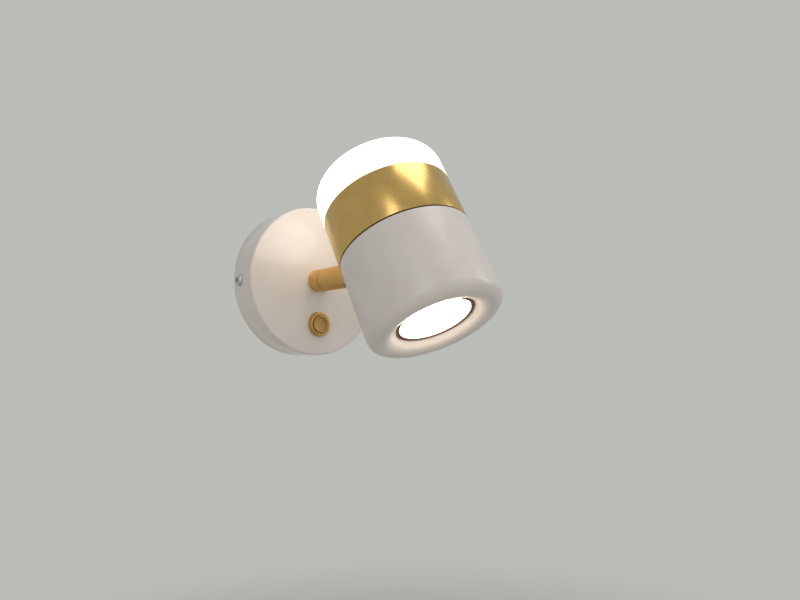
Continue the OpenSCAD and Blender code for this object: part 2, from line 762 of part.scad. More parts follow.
// Folded steel bracket: a plate inside the core and two cheeks that reach the tilt pin
module hinge_bracket() {
    color(steel) on_head() difference() {
        union() {
            translate([-hinge_plate_w / 2, pad_face - hinge_plate_t - face_gap, -hinge_plate_h / 2])
                cube([hinge_plate_w, hinge_plate_t, hinge_plate_h]);
            for (s = [-1, 1]) translate([s * (hinge_w - hinge_cheek_t) / 2, 0, 0]) {
                translate([-hinge_cheek_t / 2, pivot_to_axis, 0]) rotate([0, 90, 0])
                    cylinder(r = hinge_eye_r, h = hinge_cheek_t);
                translate([-hinge_cheek_t / 2, pad_face - hinge_plate_t / 2, -hinge_eye_r])
                    cube([hinge_cheek_t, pivot_to_axis - pad_face + hinge_plate_t / 2, 2 * hinge_eye_r]);
            }
        }
        translate([-big / 2, pivot_to_axis, 0]) rotate([0, 90, 0]) cylinder(d = tilt_pin_d + 2 * running, h = big);
        for (s = [-1, 1]) translate([s * hinge_screw_x, 0, 0]) rotate([-90, 0, 0])
            cylinder(d = m3_d + 2 * thread_gap, h = pad_face + 1, $fn = small_fn);
        translate([-(hinge_w / 2 - hinge_cheek_t), 0, -hinge_window_h / 2])
            cube([hinge_w - 2 * hinge_cheek_t, pad_face + 1, hinge_window_h]);
    }
}

// Screws that hold the hinge bracket to the core
module hinge_screws() {
    color(steel) on_head() for (s = [-1, 1])
        translate([s * hinge_screw_x, pad_face - hinge_plate_t - 2 * face_gap, 0]) rotate([90, 0, 0])
            pan_screw(m3_d, hinge_screw_l, m3_head_d, m3_head_h);
}

// Turned aluminium core: a plate for the upper lights and a skirt that carries band and shell
module head_core() {
    color("#c4c8cb") on_head() difference() {
        union() {
            difference() {
                union() {
                    translate([0, 0, shell_top]) cylinder(r = core_r, h = core_top - shell_top);
                    translate([0, 0, core_bottom]) cylinder(r = core_skirt_r, h = core_skirt + 1);
                }
                translate([0, 0, core_bottom - 1]) cylinder(r = core_r - core_wall, h = core_top - core_plate_t - core_bottom + 1);
            }
            intersection() {
                translate([0, 0, core_bottom]) cylinder(r = core_r - 1, h = core_top - core_bottom - 1);
                translate([-hinge_plate_w / 2 - 1, pad_face, -hinge_plate_h / 2 - 1])
                    cube([hinge_plate_w + 2, big, core_top - core_plate_t + hinge_plate_h / 2 + 2]);
            }
        }
        translate([-hinge_slot_w / 2, 0, -hinge_slot_h / 2]) cube([hinge_slot_w, big, hinge_slot_h]);
        for (s = [-1, 1]) translate([s * hinge_screw_x, pad_face - 1, 0]) rotate([-90, 0, 0])
            cylinder(d = m3_d + 2 * thread_gap, h = 4.4, $fn = small_fn);
        cylinder(d = wire_hole_d, h = core_top + 1);
        for (s = [-1, 1]) translate([s * halo_screw_r, 0, 0])
            cylinder(d = m3_d + 2 * thread_gap, h = core_top + 1, $fn = small_fn);
    }
}

// Brass sleeve round the middle of the head
module brass_band() {
    edge = 0.35;
    color(brass) on_head() difference() {
        union() {
            translate([0, 0, band_bottom + edge]) cylinder(r = head_r, h = band_h - 2 * edge);
            translate([0, 0, band_bottom]) cylinder(r1 = head_r - edge, r2 = head_r, h = edge + eps);
            translate([0, 0, band_top - edge - eps]) cylinder(r1 = head_r, r2 = head_r - edge, h = edge + eps);
        }
        translate([0, 0, band_bottom - 1]) cylinder(r = head_r - band_wall, h = band_h + 2);
        translate([-hinge_slot_w / 2, 0, -hinge_slot_h / 2]) cube([hinge_slot_w, big, hinge_slot_h]);
    }
}

// Recessed spacer that makes the dark line under the band
module shadow_ring() {
    color(dark) on_head() ring(max(core_r, core_skirt_r) + sleeve_gap / 2, head_r - shadow_depth, shell_top + face_gap, band_bottom - face_gap);
}

// Opal cup with a rounded top edge and a spigot that enters the band
module top_diffuser() {
    inner_edge_r = opal_edge_r - opal_wall;
    spigot_top = band_top + 2;
    color(opal) on_head() rotate_extrude() difference() {
        union() {
            translate([0, band_top + face_gap]) square([head_r, opal_h - opal_edge_r - face_gap]);
            translate([0, opal_top - opal_edge_r - eps]) square([head_r - opal_edge_r, opal_edge_r + eps]);
            translate([head_r - opal_edge_r, opal_top - opal_edge_r]) circle(r = opal_edge_r);
            translate([0, core_top + face_gap]) square([opal_spigot_r, spigot_top - core_top]);
        }
        translate([-1, 0]) square([opal_spigot_r - opal_spigot_wall + 1, spigot_top]);
        difference() {
            union() {
                translate([-1, spigot_top - eps])
                    square([head_r - opal_wall + 1, opal_top - opal_edge_r - spigot_top + eps]);
                translate([-1, spigot_top]) square([head_r - opal_edge_r + 1, opal_top - opal_wall - spigot_top]);
                translate([head_r - opal_edge_r, opal_top - opal_edge_r]) circle(r = inner_edge_r);
            }
        }
        translate([-big, -big]) square([big, 2 * big]);
    }
}

// Round board that carries the upper chips
module halo_board() {
    color("#f2f2ee") on_head() translate([0, 0, core_top + face_gap]) difference() {
        cylinder(r = board_r, h = board_t);
        translate([0, 0, -1]) cylinder(d = wire_hole_d, h = board_t + 2);
        for (s = [-1, 1]) translate([s * halo_screw_r, 0, -1])
            cylinder(d = m3_d + 2 * thread_gap, h = board_t + 2, $fn = small_fn);
    }
}

// Light-emitting chips in two rings
module halo_chips() {
    base = core_top + board_t + 2 * face_gap;
    color("#f5d648") on_head() {
        for (i = [0:halo_count - 1]) rotate([0, 0, (i + 0.5) * 360 / halo_count])
            translate([chip_ring_r, 0, base + chip_size.z / 2]) cube(chip_size, center = true);
        for (i = [0:inner_chip_count - 1]) rotate([0, 0, (i + 0.5) * 360 / inner_chip_count])
            translate([inner_chip_r, 0, base + chip_size.z / 2]) cube(chip_size, center = true);
    }
}

// Screws of the upper board
module halo_screws() {
    color(steel) on_head() for (s = [-1, 1]) translate([s * halo_screw_r, 0, core_top + board_t + 2 * face_gap])
        pan_screw(m3_d, board_t + core_plate_t - 0.3, m3_head_d, m3_head_h);
}

// Painted shell: plain side, rounded bottom edge and a flared mouth round the lens
module head_shell() {
    color(paint) on_head() {
        difference() {
            union() {
                rotate_extrude() difference() {
                    union() {
                        translate([0, shell_bottom + shell_edge_r]) square([head_r, shell_h - shell_edge_r]);
                        translate([0, shell_bottom]) square([mouth_centre_r, shell_edge_r + eps]);
                        translate([mouth_centre_r, shell_bottom + shell_edge_r]) circle(r = shell_edge_r);
                    }
                    shell_hollow();
                }
                for (a = boss_angles) rotate([0, 0, a]) translate([boss_r, 0, shell_floor - 1])
                    cylinder(d = boss_d, h = sink_bottom - face_gap - shell_floor + 1, $fn = small_fn);
            }
            for (a = boss_angles) rotate([0, 0, a]) translate([boss_r, 0, sink_bottom - 8])
                cylinder(d = m3_d + 2 * thread_gap, h = 9, $fn = small_fn);
        }
    }
}

// What is cut out of the shell's profile: the inside, the way through and the flare of the mouth
module shell_hollow() {
    translate([-1, shell_floor]) square([shell_inner_r + 1, big]);
    translate([-1, shell_bottom - 1]) square([mouth_inner_r + 1, shell_floor - shell_bottom + 2]);
    difference() {
        translate([0, shell_bottom - 1]) square([mouth_centre_r, mouth_inner_z - shell_bottom + 1]);
        translate([mouth_centre_r, shell_bottom + mouth_r]) circle(r = mouth_r, $fn = 128);
        polygon([
            mouth_tangent, [mouth_inner_r - 1, mouth_inner_z + tan(mouth_slope)], [mouth_inner_r - 1, shell_bottom + big],
            [mouth_centre_r, shell_bottom + big], [mouth_centre_r, shell_bottom + mouth_r]
        ]);
    }
}

// Aluminium heat sink: a plate on the shell's bosses with upright fins
module spot_heatsink() {
    color("#b9bdc1") on_head() difference() {
        union() {
            translate([0, 0, sink_bottom]) cylinder(r = sink_r, h = sink_plate_t);
            intersection() {
                translate([0, 0, sink_bottom]) cylinder(r = fin_field_r, h = sink_plate_t + fin_h);
                union() for (i = [0:fin_count - 1])
                    translate([(i - (fin_count - 1) / 2) * fin_pitch - fin_t / 2, -fin_field_r, sink_bottom])
                        cube([fin_t, 2 * fin_field_r, sink_plate_t + fin_h]);
            }
        }
        for (a = boss_angles) rotate([0, 0, a]) translate([boss_r, 0, sink_bottom - 1])
            cylinder(d = m3_d + 2 * thread_gap, h = sink_plate_t + 2, $fn = small_fn);
        translate([0, sink_wire_y, sink_bottom - 1]) cylinder(d = sink_wire_hole_d, h = sink_plate_t + 2, $fn = small_fn);
    }
}

// Screws of the heat sink
module heatsink_screws() {
    color(steel) on_head() for (a = boss_angles) rotate([0, 0, a])
        translate([boss_r, 0, sink_bottom + sink_plate_t + face_gap]) pan_screw(m3_d, 8, m3_head_d, m3_head_h);
}

// Board of the spotlight
module spot_board() {
    color("#f2f2ee") on_head() translate([0, 0, spot_board_bottom]) cylinder(r = spot_board_r, h = board_t);
}

// Light-emitting disc of the spotlight
module spot_chip() {
    color("#f5d648") on_head() translate([0, 0, spot_board_bottom - spot_chip_t - face_gap]) cylinder(r = spot_chip_r, h = spot_chip_t);
}

// Bright cone between the board and the lens
module spot_reflector() {
    color("#d9dcdf") on_head() rotate_extrude() polygon([
        [reflector_top_r, reflector_top], [reflector_top_r + reflector_wall, reflector_top],
        [lens_r + reflector_wall, reflector_bottom + reflector_flange_t], [lens_flange_r, reflector_bottom + reflector_flange_t],
        [lens_flange_r, reflector_bottom], [lens_r, reflector_bottom]
    ]);
}

// Frosted lens with a flange that rests on the shell's floor
module spot_lens() {
    edge = 0.5;
    color(opal) on_head() {
        translate([0, 0, lens_face + edge]) cylinder(r = lens_r, h = shell_floor - lens_face - edge + 1);
        translate([0, 0, lens_face]) cylinder(r1 = lens_r - edge, r2 = lens_r, h = edge + eps);
        translate([0, 0, shell_floor + face_gap]) cylinder(r = lens_flange_r, h = lens_flange_t - face_gap);
    }
}

// Dark ring in the gap round the lens
module lens_ring() {
    color(dark) on_head() ring(lens_r + lens_ring_gap, mouth_inner_r - lens_ring_gap, shell_floor - lens_ring_t, shell_floor);
}

// Leads from the hinge to the upper board and to the spotlight board
module head_leads() {
    start = pivot_to_axis - tilt_pin_d / 2 - 2.2;
    side = lead_pitch / 2;
    color("#b8322c") on_head() {
        lead([[-side, start, 1.6], [-side, pad_face + 1, 1.6], [-side, pad_face - 9, 0], [-side, 12, -3], [-0.2, 3, -3],
            [0, 0, 0.5], [0, 0, core_top - 0.3]]);
        lead([[side, start, -1.6], [side, pad_face + 1, -1.6], [side, pad_face - 6, -5], [side, sink_wire_y - 1.5, -14],
            [0, sink_wire_y, core_bottom], [0, sink_wire_y, sink_bottom + sink_plate_t + 2], [0, sink_wire_y, sink_bottom - 1.2],
            [0, spot_board_r + 8, spot_board_bottom - 1], [0, spot_board_r + 3, spot_board_bottom + 0.2],
            [0, spot_board_r + lead_end_gap, spot_board_bottom + 0.2]]);
    }
}

wall_bracket();
earth_screw();
canopy();
canopy_screws();
arm_bush();
bush_washer();
bush_nut();
switch_bezel();
switch_nut();
switch_housing();
switch_terminals();
switch_button();
terminal_block();
terminal_screws();
led_driver();
driver_pad();
supply_leads();
earth_lead();
output_leads();
arm_spindle();
stop_pin();
retaining_ring();
wave_washer();
swivel_washer();
arm_tube();
arm_fork();
tilt_screw();
tilt_nut();
friction_washers();
arm_leads();
hinge_bracket();
hinge_screws();
head_core();
brass_band();
shadow_ring();
top_diffuser();
halo_board();
halo_chips();
halo_screws();
head_shell();
spot_heatsink();
heatsink_screws();
spot_board();
spot_chip();
spot_reflector();
spot_lens();
lens_ring();
head_leads();
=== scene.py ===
"""The looks of the adjustable wall lamp: turned and painted pieces, finishes, room and camera."""

import math

import bmesh
import bpy
from mathutils import Matrix, Vector


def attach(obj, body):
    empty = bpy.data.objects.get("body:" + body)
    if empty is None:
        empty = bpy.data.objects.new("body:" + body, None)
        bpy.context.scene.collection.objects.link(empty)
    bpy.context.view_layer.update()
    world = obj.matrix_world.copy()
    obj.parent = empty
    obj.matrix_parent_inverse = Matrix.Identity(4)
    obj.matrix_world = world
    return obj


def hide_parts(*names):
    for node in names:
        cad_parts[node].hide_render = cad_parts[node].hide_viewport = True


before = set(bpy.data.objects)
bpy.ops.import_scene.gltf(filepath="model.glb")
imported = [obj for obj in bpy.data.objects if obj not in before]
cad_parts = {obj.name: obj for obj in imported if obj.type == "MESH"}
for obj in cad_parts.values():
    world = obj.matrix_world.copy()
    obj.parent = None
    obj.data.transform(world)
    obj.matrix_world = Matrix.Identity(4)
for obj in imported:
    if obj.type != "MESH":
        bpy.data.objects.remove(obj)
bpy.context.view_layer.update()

MM = 0.001

# Places: the canopy's pieces grow out of the wall, the head's stand on its tilted axis
OUT_OF_WALL = Matrix.Rotation(math.radians(90), 4, "X")
PIVOT_REACH = 66.5
PIVOT_TO_AXIS = 48.8
HEAD_TILT = math.radians(28.5)
HEAD_MIDDLE = Vector(
    (
        0,
        -PIVOT_REACH - PIVOT_TO_AXIS * math.cos(HEAD_TILT),
        PIVOT_TO_AXIS * math.sin(HEAD_TILT),
    )
)
ON_HEAD = Matrix.Translation(HEAD_MIDDLE * MM) @ Matrix.Rotation(-HEAD_TILT, 4, "X")

# Sizes in millimetres. On the canopy and the arm heights run out from the wall
CANOPY_R = 51.0
CANOPY_INNER_R = 49.5
CANOPY_RIM = 0.6
CANOPY_BACK = 22.5
CANOPY_FACE = 24.0
BUSH_HOLE_R = 6.05
SWITCH_DROP = 30.0
SWITCH_HOLE_R = 7.95
SIDE_SCREW_REACH = 9.0
SIDE_HOLE_R = 2.25
SCREW_SEAT = CANOPY_R + 0.02
ON_CANOPY = CANOPY_FACE + 0.02

BUSH_TAIL = 15.0
BUSH_FRONT = 34.0
BUSH_BORE_R = 3.55
THREAD_R = 6.0
GROOVE_R = 7.5
ARM_R = 7.8
TUBE_START = 34.8
TUBE_END = 57.98
TUBE_BORE_R = 6.3

# On the head heights run up its axis, from the middle of the brass band
HEAD_R = 40.0
SLEEVE_R = 38.1
BAND_HALF = 15.15
OPAL_TOP = 41.65
OPAL_WALL = 2.5
SHELL_TOP = -15.85
SHELL_BOTTOM = -68.35
SHELL_FLOOR = -61.15
BOSS_CIRCLE_R = 31.1
BOSS_R = 3.2
BOSS_LENGTH = 21.0
MOUTH_SLOPE = math.radians(38)
MOUTH_ROUND = 12.0
MOUTH_INNER_R = 23.3
MOUTH_INNER_Z = -63.609
LENS_FACE = -63.35
LENS_R = 21.0
FLANGE_R = 25.1
FLANGE_FRONT = -61.13
FLANGE_BACK = -59.65
RING_FACE = -63.65
RING_INNER_R = 21.12
RING_OUTER_R = 23.18


def finish_of(name, colour, roughness, metallic=0.0):
    """A new material and its shader, with the plain values set on the shader's own sockets."""
    material = bpy.data.materials.new(name)
    material.use_nodes = True
    tree = material.node_tree
    shader = tree.nodes["Principled BSDF"]
    shader.inputs["Base Color"].default_value = (*colour, 1)
    shader.inputs["Roughness"].default_value = roughness
    shader.inputs["Metallic"].default_value = metallic
    return material, tree, shader


def grain(tree, size, detail=2.0, place=None, turn=0.0, stretch=(1, 1, 1)):
    """Noise with features about size millimetres wide, measured on the object itself."""
    where = tree.nodes.new("ShaderNodeTexCoord")
    mapping = tree.nodes.new("ShaderNodeMapping")
    mapping.vector_type = "TEXTURE"
    if place is not None:
        mapping.inputs["Location"].default_value = place
    mapping.inputs["Rotation"].default_value = (turn, 0, 0)
    mapping.inputs["Scale"].default_value = [size * MM * s for s in stretch]
    noise = tree.nodes.new("ShaderNodeTexNoise")
    noise.inputs["Scale"].default_value = 1.0
    noise.inputs["Detail"].default_value = detail
    tree.links.new(where.outputs["Object"], mapping.inputs["Vector"])
    tree.links.new(mapping.outputs["Vector"], noise.inputs["Vector"])
    return noise.outputs["Fac"]


def spread(tree, source, low, high, socket):
    """Lets a socket vary between two numbers with the noise."""
    ranged = tree.nodes.new("ShaderNodeMapRange")
    ranged.inputs["From Min"].default_value = 0.3
    ranged.inputs["From Max"].default_value = 0.7
    ranged.inputs["To Min"].default_value = low
    ranged.inputs["To Max"].default_value = high
    tree.links.new(source, ranged.inputs["Value"])
    tree.links.new(ranged.outputs["Result"], socket)


def tint(tree, shader, source, dark, light):
    """Lets the colour drift between two near shades with the noise."""
    ramp = tree.nodes.new("ShaderNodeValToRGB")
    ramp.color_ramp.elements[0].position = 0.3
    ramp.color_ramp.elements[0].color = (*dark, 1)
    ramp.color_ramp.elements[1].position = 0.7
    ramp.color_ramp.elements[1].color = (*light, 1)
    tree.links.new(source, ramp.inputs["Fac"])
    tree.links.new(ramp.outputs["Color"], shader.inputs["Base Color"])


def relief(tree, shader, source, depth):
    """Fine unevenness, depth millimetres deep."""
    bump = tree.nodes.new("ShaderNodeBump")
    bump.inputs["Strength"].default_value = 1.0
    bump.inputs["Distance"].default_value = depth * MM
    tree.links.new(source, bump.inputs["Height"])
    tree.links.new(bump.outputs["Normal"], shader.inputs["Normal"])


def sprayed_paint(name, roughness, coat):
    """Warm white sprayed paint with a faint orange peel."""
    material, tree, shader = finish_of(name, (0.82, 0.75, 0.70), roughness)
    tint(tree, shader, grain(tree, 14, 3), (0.80, 0.728, 0.678), (0.835, 0.768, 0.72))
    spread(tree, grain(tree, 5, 3), roughness * 0.85, roughness * 1.2, shader.inputs["Roughness"])
    relief(tree, shader, grain(tree, 1.4, 1), 0.003)
    shader.inputs["Coat Weight"].default_value = coat
    shader.inputs["Coat Roughness"].default_value = 0.08
    return material


def satin_brass(name, colour, roughness, place=None, turn=0.0, stretch=(1, 1, 1)):
    """Satin brass whose fine turning lines run round the axis of the piece."""
    material, tree, shader = finish_of(name, colour, roughness, 1.0)
    lines = grain(tree, 0.22, 2, place, turn, stretch)
    tint(tree, shader, grain(tree, 9, 3), [c * 0.94 for c in colour], [c * 1.06 for c in colour])
    spread(tree, lines, roughness * 0.85, roughness * 1.25, shader.inputs["Roughness"])
    relief(tree, shader, lines, 0.0035)
    return material


def plated_steel():
    """Bright zinc plating with a slight cloudiness."""
    material, tree, shader = finish_of("plated steel", (0.60, 0.61, 0.62), 0.34, 1.0)
    tint(tree, shader, grain(tree, 3, 4), (0.52, 0.53, 0.53), (0.66, 0.67, 0.69))
    spread(tree, grain(tree, 1.2, 3), 0.26, 0.44, shader.inputs["Roughness"])
    return material


def machined_aluminium():
    """Machined aluminium with fine tool lines."""
    material, tree, shader = finish_of("machined aluminium", (0.72, 0.73, 0.75), 0.36, 1.0)
    lines = grain(tree, 0.3, 2, HEAD_MIDDLE * MM, -HEAD_TILT, (60, 60, 1))
    spread(tree, lines, 0.28, 0.46, shader.inputs["Roughness"])
    relief(tree, shader, lines, 0.004)
    return material


def moulded_plastic(name, colour, roughness):
    """Moulded plastic with a fine spark-eroded grain."""
    material, tree, shader = finish_of(name, colour, roughness)
    dark = [c * 0.95 for c in colour]
    light = [min(1.0, c * 1.04) for c in colour]
    tint(tree, shader, grain(tree, 4, 3), dark, light)
    spread(tree, grain(tree, 0.8, 2), roughness * 0.85, roughness * 1.15, shader.inputs["Roughness"])
    relief(tree, shader, grain(tree, 0.25, 2), 0.01)
    return material


def wire_insulation(name, colour):
    """Soft insulation with a slight gloss."""
    material, tree, shader = finish_of(name, colour, 0.38)
    tint(tree, shader, grain(tree, 2, 2), [c * 0.88 for c in colour], colour)
    shader.inputs["Specular IOR Level"].default_value = 0.45
    return material


def glowing_opal(name, colour, glow, strength, glow_runs):
    """Frosted opal plastic lit from inside; glow_runs gives where the glow is weakest and strongest."""
    material, tree, shader = finish_of(name, colour, 0.42)
    relief(tree, shader, grain(tree, 0.4, 2), 0.006)
    where = tree.nodes.new("ShaderNodeTexCoord")
    mapping = tree.nodes.new("ShaderNodeMapping")
    mapping.vector_type = "TEXTURE"
    mapping.inputs["Location"].default_value = HEAD_MIDDLE * MM
    mapping.inputs["Rotation"].default_value = (-HEAD_TILT, 0, 0)
    mapping.inputs["Scale"].default_value = (MM, MM, MM)
    split = tree.nodes.new("ShaderNodeSeparateXYZ")
    tree.links.new(where.outputs["Object"], mapping.inputs["Vector"])
    tree.links.new(mapping.outputs["Vector"], split.inputs["Vector"])
    reach, source = glow_runs(tree, split)
    ranged = tree.nodes.new("ShaderNodeMapRange")
    ranged.interpolation_type = "SMOOTHSTEP"
    ranged.inputs["From Min"].default_value = reach[0]
    ranged.inputs["From Max"].default_value = reach[1]
    ranged.inputs["To Min"].default_value = strength[0]
    ranged.inputs["To Max"].default_value = strength[1]
    tree.links.new(source, ranged.inputs["Value"])
    tree.links.new(ranged.outputs["Result"], shader.inputs["Emission Strength"])
    shader.inputs["Emission Color"].default_value = (*glow, 1)
    shader.inputs["Subsurface Weight"].default_value = 0.3
    shader.inputs["Subsurface Scale"].default_value = 0.004
    return material


def along_axis(tree, split):
    """The opal top glows a little less right above the brass."""
    return (15.0, 27.0), split.outputs["Z"]


def from_centre(tree, split):
    """The lens glows a little less at its edge."""
    flat = tree.nodes.new("ShaderNodeCombineXYZ")
    length = tree.nodes.new("ShaderNodeVectorMath")
    length.operation = "LENGTH"
    tree.links.new(split.outputs["X"], flat.inputs["X"])
    tree.links.new(split.outputs["Y"], flat.inputs["Y"])
    tree.links.new(flat.outputs["Vector"], length.inputs[0])
    return (LENS_R, 9.0), length.outputs["Value"]


FINISH = {
    "canopy paint": sprayed_paint("canopy paint", 0.22, 0.3),
    "shell paint": sprayed_paint("shell paint", 0.34, 0.12),
    "band brass": satin_brass(
        "band brass", (0.66, 0.44, 0.15), 0.24, HEAD_MIDDLE * MM, -HEAD_TILT, (90, 90, 1)
    ),
    "arm brass": satin_brass("arm brass", (0.70, 0.45, 0.16), 0.46, None, 0.0, (60, 1, 60)),
    # The button's brass is a darker copy of the switch brass: painted shade for the dished button.
    "button brass with painted shade": satin_brass("button brass with painted shade", (0.50, 0.31, 0.12), 0.42, None, 0.0, (12, 1, 12)),
    "switch brass": satin_brass("switch brass", (0.66, 0.43, 0.16), 0.44, None, 0.0, (12, 1, 12)),
    "plated steel": plated_steel(),
    "machined aluminium": machined_aluminium(),
    "black plastic": moulded_plastic("black plastic", (0.035, 0.027, 0.024), 0.5),
    # The lens ring's dark brown is partly its own dark plastic and partly painted shade round the lens.
    "brown lens ring with painted shade": moulded_plastic("brown lens ring with painted shade", (0.20, 0.080, 0.042), 0.5),
    "brown plastic": moulded_plastic("brown plastic", (0.055, 0.026, 0.012), 0.6),
    "pale plastic": moulded_plastic("pale plastic", (0.78, 0.77, 0.73), 0.45),
    "white board": moulded_plastic("white board", (0.80, 0.82, 0.80), 0.5),
    "yellow chip": moulded_plastic("yellow chip", (0.80, 0.62, 0.12), 0.3),
    "brown lead": wire_insulation("brown lead", (0.20, 0.09, 0.04)),
    "earth lead": wire_insulation("earth lead", (0.36, 0.45, 0.06)),
    "red lead": wire_insulation("red lead", (0.50, 0.05, 0.04)),
    "opal": glowing_opal("opal", (0.93, 0.91, 0.87), (1.0, 0.88, 0.70), (1.6, 2.6), along_axis),
    "lens": glowing_opal("lens", (0.93, 0.91, 0.86), (1.0, 0.86, 0.68), (9.0, 13.0), from_centre),
}

CAD_FINISH = {
    "plated steel": [
        "wall_bracket",
        "bush_washer",
        "bush_nut",
        "switch_nut",
        "terminal_screws",
        "stop_pin",
        "retaining_ring",
        "wave_washer",
        "hinge_bracket",
        "hinge_screws",
        "halo_screws",
        "heatsink_screws",
    ],
    "arm brass": ["arm_spindle", "arm_fork", "tilt_screw", "tilt_nut"],
    "switch brass": ["earth_screw", "switch_terminals"],
    "black plastic": ["switch_housing", "friction_washers", "driver_pad"],
    "brown plastic": ["swivel_washer", "shadow_ring"],
    "pale plastic": ["terminal_block", "led_driver"],
    "machined aluminium": ["head_core", "spot_heatsink", "spot_reflector"],
    "white board": ["halo_board", "spot_board"],
    "yellow chip": ["halo_chips", "spot_chip"],
    "brown lead": ["supply_leads"],
    "earth lead": ["earth_lead"],
    "red lead": ["output_leads", "arm_leads", "head_leads"],
}


def dress_cad_pieces():
    """Gives each kept CAD piece its finish."""
    for finish_name, nodes in CAD_FINISH.items():
        for node in nodes:
            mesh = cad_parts[node].data
            mesh.materials.clear()
            mesh.materials.append(FINISH[finish_name])


def turned(outline, soft=None, steps=160, closed=True):
    """A lathe-turned body: corners (radius, height) in millimetres, spun round Z.

    soft gives some corners a setback in millimetres and a number of facets.
    """
    bm = bmesh.new()
    corners = [bm.verts.new((radius * MM, 0, height * MM)) for radius, height in outline]
    count = len(corners)
    last = count if closed else count - 1
    sides = [bm.edges.new((corners[i], corners[(i + 1) % count])) for i in range(last)]
    bmesh.ops.spin(
        bm,
        geom=corners + sides,
        cent=(0, 0, 0),
        axis=(0, 0, 1),
        angle=2 * math.pi,
        steps=steps,
        use_merge=True,
        use_duplicate=False,
    )
    bmesh.ops.remove_doubles(bm, verts=bm.verts, dist=1e-7)
    bmesh.ops.recalc_face_normals(bm, faces=bm.faces)
    for corner, (setback, facets) in (soft or {}).items():
        radius, height = outline[corner]
        rim = [e for e in bm.edges if all(on_rim(v, radius, height) for v in e.verts)]
        bmesh.ops.bevel(
            bm,
            geom=rim,
            offset=setback * MM,
            offset_type="OFFSET",
            segments=facets,
            profile=0.5,
            affect="EDGES",
            material=-1,
            clamp_overlap=True,
        )
    return bm


def on_rim(vertex, radius, height):
    """True where a vertex lies on the turned rim of that radius and height."""
    out = math.hypot(vertex.co.x, vertex.co.y)
    return abs(out - radius * MM) < 2e-6 and abs(vertex.co.z - height * MM) < 2e-6


def shade(mesh, angle=28):
    """Smooth shading, with sharp edges where the surface turns."""
    mesh.shade_smooth()
    mesh.set_sharp_from_angle(angle=math.radians(angle))


def piece(name, bm, place, finish_name, body, slot, *nodes):
    """Puts a finished piece in its place on its body and hides the CAD pieces it takes the place of."""
    mesh = bpy.data.meshes.new(name)
    bm.to_mesh(mesh)
    bm.free()
    mesh.transform(place)
    shade(mesh)
    mesh.materials.append(FINISH[finish_name])
    obj = bpy.data.objects.new(name, mesh)
    bpy.context.scene.collection.objects.link(obj)
    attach(obj, body)
    if nodes:
        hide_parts(*nodes)
    return obj


def block(size, place):
    """A box of that size in millimetres, put in its place."""
    bm = bmesh.new()
    bmesh.ops.create_cube(bm, size=1.0, matrix=place @ Matrix.Diagonal((*[s * MM for s in size], 1)))
    return bm


def rod(radius, length, place, steps=48):
    """A plain rod centred on its place, along its Z."""
    bm = bmesh.new()
    bmesh.ops.create_cone(
        bm,
        cap_ends=True,
        segments=steps,
        radius1=radius * MM,
        radius2=radius * MM,
        depth=length * MM,
        matrix=place,
    )
    return bm


def cut(obj, *shapes):
    """Cuts the given shapes out of a piece."""
    for shape in shapes:
        mesh = bpy.data.meshes.new("cutter")
        shape.to_mesh(mesh)
        shape.free()
        cutter = bpy.data.objects.new("cutter", mesh)
        bpy.context.scene.collection.objects.link(cutter)
        modifier = obj.modifiers.new("cut", "BOOLEAN")
        modifier.operation = "DIFFERENCE"
        modifier.solver = "EXACT"
        modifier.object = cutter
        bpy.context.view_layer.update()
        seen = obj.evaluated_get(bpy.context.evaluated_depsgraph_get())
        done = bpy.data.meshes.new_from_object(seen)
        obj.modifiers.remove(modifier)
        obj.data = done
        bpy.data.objects.remove(cutter)
    shade(obj.data)


def at(x, y, z):
    """A place in millimetres."""
    return Matrix.Translation(Vector((x, y, z)) * MM)


def make_canopy():
    """Painted cup: the face, a small round edge, the side and an open back."""
    bm = turned(
        [
            (BUSH_HOLE_R, CANOPY_BACK),
            (BUSH_HOLE_R, CANOPY_FACE),
            (CANOPY_R, CANOPY_FACE),
            (CANOPY_R, CANOPY_RIM),
            (CANOPY_INNER_R, CANOPY_RIM),
            (CANOPY_INNER_R, CANOPY_BACK),
        ],
        {2: (1.5, 6), 3: (0.3, 2), 5: (0.8, 3)},
        steps=192,
    )
    canopy = piece("painted_canopy", bm, OUT_OF_WALL, "canopy paint", "base", "white_paint", "canopy")
    switch_hole = rod(SWITCH_HOLE_R, 6, OUT_OF_WALL @ at(0, -SWITCH_DROP, 23), 96)
    across = OUT_OF_WALL @ at(0, 0, SIDE_SCREW_REACH) @ Matrix.Rotation(math.radians(90), 4, "Y")
    cut(canopy, switch_hole, rod(SIDE_HOLE_R, 120, across))


def make_arm():
    """The bush at the root of the arm with its turned rings, and the plain tube."""
    bush = turned(
        [
            (BUSH_BORE_R, BUSH_TAIL),
            (THREAD_R, BUSH_TAIL),
            (THREAD_R, ON_CANOPY),
            (ARM_R, ON_CANOPY),
            (ARM_R, 25.8),
            (GROOVE_R, 25.95),
            (GROOVE_R, 26.2),
            (ARM_R, 26.35),
            (ARM_R, 28.1),
            (GROOVE_R, 28.25),
            (GROOVE_R, 28.5),
            (ARM_R, 28.65),
            (ARM_R, BUSH_FRONT),
            (6.2, BUSH_FRONT),
            (6.2, BUSH_FRONT - 3),
            (4.3, BUSH_FRONT - 3),
            (4.3, BUSH_FRONT),
            (BUSH_BORE_R, BUSH_FRONT),
        ],
        {1: (0.4, 2), 3: (0.25, 3), 12: (0.35, 3)},
    )
    piece("turned_bush", bush, OUT_OF_WALL, "arm brass", "base", "satin_brass", "arm_bush")
    tube = turned(
        [(TUBE_BORE_R, TUBE_START), (ARM_R, TUBE_START), (ARM_R, TUBE_END), (TUBE_BORE_R, TUBE_END)],
        {1: (0.35, 3), 2: (0.1, 2)},
    )
    piece("turned_tube", tube, OUT_OF_WALL, "arm brass", "arm", "satin_brass", "arm_tube")


